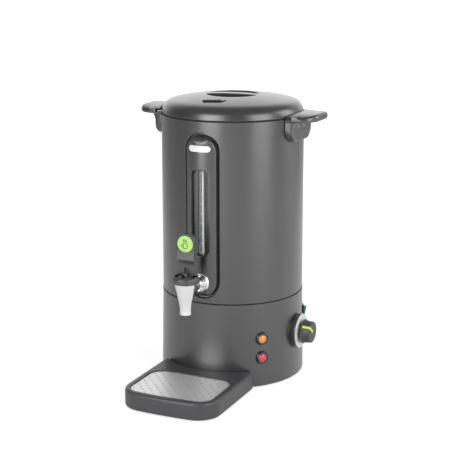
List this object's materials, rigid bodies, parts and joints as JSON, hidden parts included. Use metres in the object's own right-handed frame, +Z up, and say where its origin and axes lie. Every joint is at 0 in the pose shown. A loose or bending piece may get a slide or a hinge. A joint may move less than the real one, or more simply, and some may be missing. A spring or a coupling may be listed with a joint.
{
  "type": "hot water urn",
  "caption": "Tall cylindrical hot water urn with twist-lock lid, side handles, sight gauge, lever tap, temperature knob, signal lamps and a perforated drip tray.",
  "frame": {"origin": "on the body's vertical axis at floor level, the centre of the circle on which the four feet stand", "axes": "+Z up, -Y front with the tap and drip tray, +X the knob's side"},
  "size_m": [0.299, 0.3745, 0.4446],
  "materials": {
    "graphite_paint": "fine matt graphite paint",
    "graphite_plastic": "satin graphite moulding",
    "black_plastic": "satin black moulding",
    "stainless": "brushed stainless sheet and screws",
    "zinc_sheet": "zinc-plated sheet",
    "bright_chrome": "polished chrome plate",
    "feet_rubber": "matt rubber",
    "silicone": "food-grade silicone",
    "clear_tube": "clear tube",
    "badge_silver": "satin silver",
    "lime_gloss": "gloss light green",
    "pointer_lime": "gloss lime yellow",
    "amber_plastic": "gloss translucent amber",
    "red_plastic": "gloss translucent red",
    "dial_white": "printed off-white",
    "switch_green": "gloss green",
    "cast_alu": "cast aluminium",
    "element_steel": "dull sheath",
    "stat_brass": "brass and plated steel",
    "bulb_copper": "copper",
    "ceramic": "unglazed off-white",
    "phenolic": "brown phenolic"
  },
  "bodies": {
    "urn": {"jacket": "graphite_paint", "inner_tank": "stainless", "base_housing": "graphite_plastic", "base_plate": "zinc_sheet", "rubber_feet": "feet_rubber", "base_screws": "stainless", "gauge_panel": "graphite_plastic", "badge_plate": "badge_silver", "sight_tube": "clear_tube", "lower_seal": "silicone", "upper_seal": "silicone", "tap_body": "bright_chrome", "tap_flange": "bright_chrome", "tap_washers": "silicone", "tap_nuts": "stainless", "tap_bonnet": "black_plastic", "lever_pin": "stainless", "tap_spring": "stainless", "lamp_bezels": "black_plastic", "amber_lens": "amber_plastic", "red_lens": "red_plastic", "knob_bezel": "black_plastic", "dial_plate": "dial_white", "thermostat": "stat_brass", "sensor_bulb": "bulb_copper", "heat_plate": "cast_alu", "heating_element": "element_steel", "switch_frame": "black_plastic", "cable_gland": "black_plastic", "gland_nut": "black_plastic", "terminal_block": "ceramic", "cutout_body": "phenolic", "handle_left": "graphite_plastic", "handle_right": "graphite_plastic", "handle_screws": "stainless", "handle_nuts": "stainless"},
    "lever": {"tap_lever": "black_plastic", "lever_disc": "lime_gloss"},
    "stem": {"tap_stem": "stainless", "lifter_pin": "stainless", "seat_cup": "silicone"},
    "knob": {"control_knob": "black_plastic", "knob_pointer": "pointer_lime", "knob_shaft": "stainless"},
    "rocker_key": {"rocker": "switch_green"},
    "reset_key": {"reset_button": "red_plastic"},
    "seal_ring": {"lid_seal": "silicone"},
    "lid": {"lid_cover": "graphite_plastic", "lid_pan": "stainless", "lid_screws": "stainless"},
    "tray": {"drip_tray": "black_plastic"},
    "grille": {"drip_grille": "stainless"}
  },
  "joints": [
    {"name": "lid_lift", "type": "slide", "parent": "urn", "child": "seal_ring", "axis": [0, 0, 1], "range_m": [0, 0.16]},
    {"name": "lid_turn", "type": "hinge", "parent": "seal_ring", "child": "lid", "pos_m": [0, 0, 0.42], "axis": [0, 0, 1], "range_deg": [-11, 0]},
    {"name": "lever_tilt", "type": "hinge", "parent": "urn", "child": "lever", "pos_m": [0, -0.1735, 0.1904], "axis": [1, 0, 0], "range_deg": [0, 20], "stiffness_Nm_per_rad": 0.6, "springref_deg": -8.59},
    {"name": "stem_lift", "type": "slide", "parent": "urn", "child": "stem", "axis": [0, 0, 1], "range_m": [0, 0.0028], "deforming": ["tap_spring"]},
    {"name": "knob_turn", "type": "hinge", "parent": "urn", "child": "knob", "pos_m": [0.119, 0, 0.0738], "axis": [-1, 0, 0], "range_deg": [-70, 200]},
    {"name": "rocker_tilt", "type": "hinge", "parent": "urn", "child": "rocker_key", "pos_m": [0.10111, 0.04715, 0.091], "axis": [-0.4226, 0.9063, 0], "range_deg": [-14, 0]},
    {"name": "reset_press", "type": "slide", "parent": "urn", "child": "reset_key", "axis": [0, 0, 1], "range_m": [0, 0.0015], "stiffness_N_per_m": 200, "springref_m": -0.001},
    {"name": "tray_slide", "type": "slide", "parent": "urn", "child": "tray", "axis": [0, -1, 0], "range_m": [0, 0.06]},
    {"name": "grille_lift", "type": "slide", "parent": "tray", "child": "grille", "axis": [0, 0, 1], "range_m": [0, 0.03]}
  ],
  "couplings": [
    {"joint": "stem_lift", "follows": "lever_tilt", "m_per_rad": 0.0075}
  ]
}
